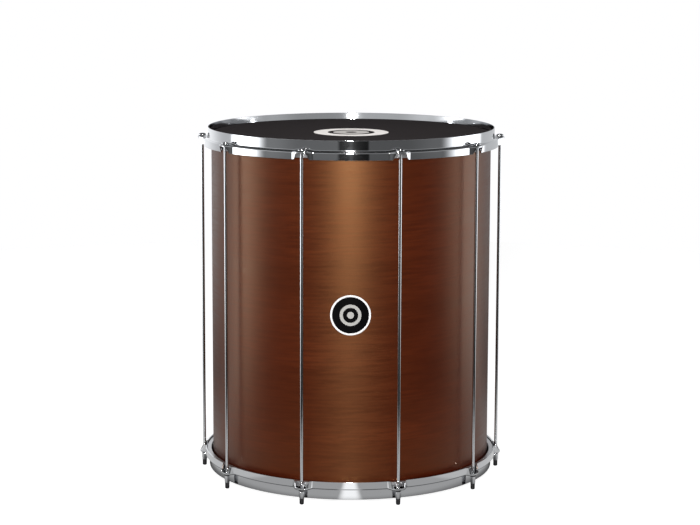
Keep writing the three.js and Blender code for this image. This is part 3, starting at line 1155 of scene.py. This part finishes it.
class SURDO_OT_stage(SurdoOperator):
    """Sets up the floor, the studio light and the camera"""

    bl_idname = "surdo.stage"
    bl_label = "Stage"

    def execute(self, context):
        look = context.scene.surdo.stage
        context.scene.view_settings.view_transform = "Standard"
        self.camera(context, look)
        self.room(context, look)
        self.floor(context, look)
        self.lamp(context, "Strip", look.strip_power, STRIP_SIZE, STRIP_PLACE, STRIP_TILT)
        self.lamp(context, "Overhead", look.overhead_power, OVERHEAD_SIZE, OVERHEAD_PLACE,
                  tint=OVERHEAD_TINT)
        return {"FINISHED"}

    def camera(self, context, look):
        data = bpy.data.cameras.new("Camera")
        data.lens = look.camera_lens
        data.shift_y = look.camera_shift
        data.clip_end = 100
        camera = bpy.data.objects.new("Camera", data)
        context.scene.collection.objects.link(camera)
        camera.location = (0, -look.camera_distance, BOTTOM_RIM + look.camera_height)
        turn = Matrix.Rotation(look.camera_yaw, 3, "Z")
        turn = turn @ Matrix.Rotation(math.pi / 2 - look.camera_pitch, 3, "X")
        turn = turn @ Matrix.Rotation(look.camera_roll, 3, "Z")
        camera.rotation_euler = turn.to_euler()
        context.scene.camera = camera

    def studio(self, finish, look, x, y, z):
        """The room's brightness in a direction. Low in front hangs a dark panel with a narrow gap,
        at each side a soft box that reaches further round on the left, and behind is a backdrop."""
        turn = finish.bearing(x, y) / math.pi
        right = turn > 0
        away = turn * (right * (look.right_reach + look.left_reach) - look.left_reach)
        above = finish.band(z, *HORIZON)

        front = look.front_left + (look.front_right - look.front_left) * right
        front = front * (1 + SIDE_GAIN * finish.band(away, *SIDE_EDGE))
        front = front * (1 + look.front_rise * above)

        panel = finish.band(turn, *PANEL_LEFT) * finish.band(turn, *PANEL_RIGHT)
        panel = panel * finish.band(z, *PANEL_TOP)
        gap = finish.band(away, *GAP_EDGE)
        hung = look.panel_dark + (look.panel_gap - look.panel_dark) * gap

        box = look.left_box + (look.right_box - look.left_box) * right
        box = box * (1 - BOX_FALL * above)
        backdrop = look.back_light * (1 + BACK_GAIN * finish.band(turn, *BACK_LEFT))

        level = finish.between(panel, front, hung)
        level = finish.between(finish.band(away, *BOX_EDGE), level, box)
        behind = finish.band(away - BACK_SHIFT * right, *BACK_EDGE)
        return finish.between(behind, level, backdrop)

    def room(self, context, look):
        """The studio round the drum, which the camera sees as plain white."""
        world = bpy.data.worlds.new("Studio")
        context.scene.world = world
        world.use_nodes = True
        finish = Finish(world.node_tree)
        x, y, z = finish.coordinates("Generated")
        level = self.studio(finish, look, x, y, z)
        level = level * (1 - FLOOR_FALL * finish.band(z, *FLOOR_EDGE))
        level = finish.between(finish.band(z, *CEILING_EDGE), level, look.sky_light)
        seen = finish.node("ShaderNodeLightPath", output="Is Camera Ray")
        level = finish.between(seen, level, 1.0)
        red, green, blue = ROOM_TINT
        red = red + (1 - red) * seen
        tint = finish.vector(level * red, level * green, level * blue)
        finish.show(finish.node("ShaderNodeBackground", {}, {"Color": tint}), "ShaderNodeOutputWorld")

    def floor(self, context, look):
        """A pale floor that takes the drum's shadow. In reflections it shows its own plan of painted
        light: a painted pool of light in front, a painted shadow under the drum, a brighter painted
        band beside it and a painted falloff further out.
        """
        work = bmesh.new()
        bmesh.ops.create_circle(work, cap_ends=True, segments=ROUND_STEPS, radius=look.floor_radius)
        mesh = bpy.data.meshes.new("Floor")
        work.to_mesh(mesh)
        work.free()
        floor = bpy.data.objects.new("Floor", mesh)
        context.scene.collection.objects.link(floor)
        material, finish = new_material("Pale floor")
        mesh.materials.append(material)

        x, y, _ = finish.coordinates("Object")
        radius = finish.radius(x, y)
        # Painted pool of light: a narrow bright streak on the floor in front of the drum, seen only
        # in reflections
        painted_pool = finish.band(x * x, *PAINTED_POOL_EDGE) * (y < 0)
        # Painted light: a brighter band of floor to each side of the drum, seen only in reflections
        beside = finish.band(x * x, *PAINTED_SIDE_EDGE)
        # Painted shadow: the floor's glow in reflections falls away under the drum
        under = finish.band(radius, *PAINTED_SHADOW_EDGE)
        near = look.floor_near + PAINTED_POOL_GAIN * painted_pool + PAINTED_SIDE_GAIN * beside
        near = near * (1 - PAINTED_SHADOW_FALL * under)
        # Painted falloff: the far floor's glow in reflections is darkest near the drum and brightens
        # outwards
        painted_falloff = PAINTED_FALLOFF_LEVEL + PAINTED_FALLOFF_GAIN * finish.band(radius, PAINTED_FALLOFF_START, look.floor_radius)
        far = self.studio(finish, look, x, y, -1) * painted_falloff
        # The floor's painted light, which only glossy rays see
        mirrored = finish.between(finish.band(radius, *FAR_EDGE), near, far)

        path = {name: finish.node("ShaderNodeLightPath", output=f"Is {name} Ray")
                for name in ("Camera", "Glossy", "Transmission")}
        strength = (path["Camera"] + path["Transmission"]) * PALE_LEVEL + path["Glossy"] * mirrored
        glow = finish.node("ShaderNodeEmission", {}, {"Strength": strength})
        matt = finish.node("ShaderNodeBsdfDiffuse", {}, {"Color": opaque(PALE_SHADE)})
        black = finish.node("ShaderNodeBsdfDiffuse", {}, {"Color": opaque(BLACK)})
        base = finish.node("ShaderNodeMixShader", {}, {0: path["Glossy"], 1: matt, 2: black})
        both = finish.node("ShaderNodeAddShader", {}, {0: glow, 1: base})
        below = finish.node("ShaderNodeNewGeometry", output="Backfacing")
        clear = finish.node("ShaderNodeBsdfTransparent")
        finish.show(finish.node("ShaderNodeMixShader", {}, {0: below, 1: both, 2: clear}))

    def lamp(self, context, name, power, size, place, tilt=0.0, tint=(1.0, 1.0, 1.0)):
        """A rectangular lamp, which the lens looks past."""
        data = bpy.data.lights.new(name, "AREA")
        data.shape = "RECTANGLE"
        data.size, data.size_y = size
        data.energy = power
        data.color = tint
        lamp = bpy.data.objects.new(name, data)
        lamp.location = place
        lamp.rotation_euler = (tilt, 0, 0)
        lamp.visible_camera = False
        context.scene.collection.objects.link(lamp)


class SURDO_PT_panel(bpy.types.Panel):
    """Lists the pieces of the drum"""

    bl_idname = "SURDO_PT_panel"
    bl_label = "Surdo"
    bl_space_type = "VIEW_3D"
    bl_region_type = "UI"
    bl_category = "Surdo"

    def draw(self, context):
        for operator in OPERATORS:
            self.layout.operator(operator.bl_idname)


class SurdoSettings(bpy.types.PropertyGroup):
    """All sizes and colours of the drum."""

    shell: PointerProperty(type=SurdoShell)
    badge: PointerProperty(type=SurdoBadge)
    hoop: PointerProperty(type=SurdoHoop)
    head: PointerProperty(type=SurdoHead)
    rod: PointerProperty(type=SurdoRod)
    nut: PointerProperty(type=SurdoNut)
    stage: PointerProperty(type=SurdoStage)


GROUPS = (SurdoShell, SurdoBadge, SurdoHoop, SurdoHead, SurdoRod, SurdoNut, SurdoStage,
          SurdoSettings)
OPERATORS = (SURDO_OT_stage, SURDO_OT_shell, SURDO_OT_badge, SURDO_OT_hoops, SURDO_OT_heads,
             SURDO_OT_rods, SURDO_OT_nuts, SURDO_OT_feet)


def register():
    for kind in (*GROUPS, *OPERATORS, SURDO_PT_panel):
        bpy.utils.register_class(kind)
    bpy.types.Scene.surdo = PointerProperty(type=SurdoSettings)


def unregister():
    del bpy.types.Scene.surdo
    for kind in reversed((*GROUPS, *OPERATORS, SURDO_PT_panel)):
        bpy.utils.unregister_class(kind)


def main():
    register()
    bpy.ops.surdo.stage()
    bpy.ops.surdo.shell()
    bpy.ops.surdo.badge()
    bpy.ops.surdo.hoops()
    bpy.ops.surdo.heads()
    bpy.ops.surdo.rods()
    bpy.ops.surdo.nuts()
    bpy.ops.surdo.feet()


if __name__ == "__main__":
    main()
